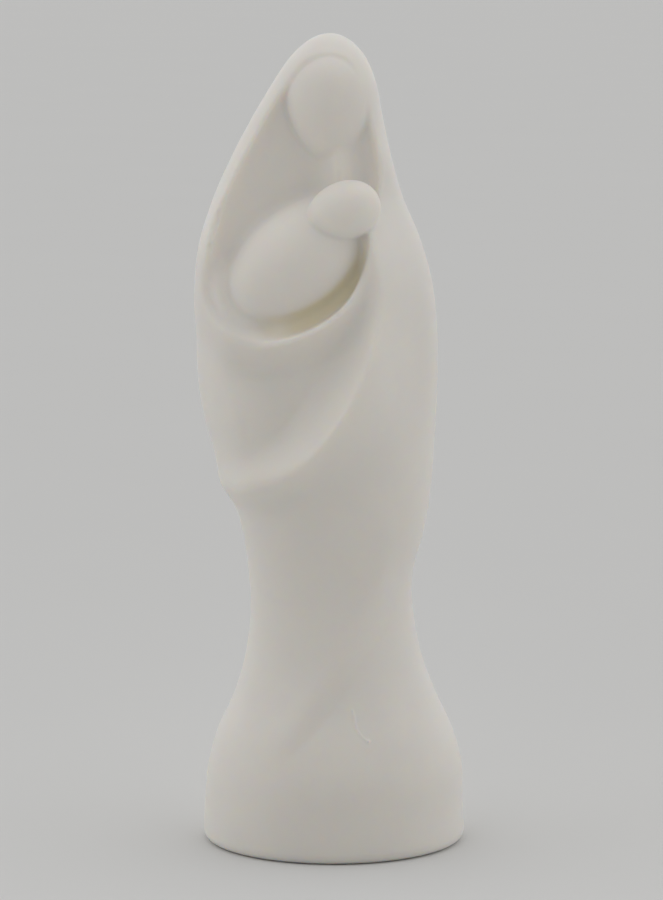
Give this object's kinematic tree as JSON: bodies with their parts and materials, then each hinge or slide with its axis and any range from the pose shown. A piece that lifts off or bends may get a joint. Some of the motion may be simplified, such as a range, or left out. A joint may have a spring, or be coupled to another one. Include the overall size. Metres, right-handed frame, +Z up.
{
  "type": "virgin and child statue",
  "caption": "Stylised veiled mother holding a wrapped child, cast as one smooth standing figure on a round flared foot.",
  "frame": {"origin": "middle of the flat underside, at the bottom centre of the bounding box", "axes": "+Z up along the figure, the figure faces -Y, +X to the viewer's right"},
  "size_m": [0.0667, 0.065, 0.2],
  "materials": {
    "cast_body": "satin"
  },
  "bodies": {
    "root": {"virgin_and_child": "cast_body"}
  },
  "joints": []
}
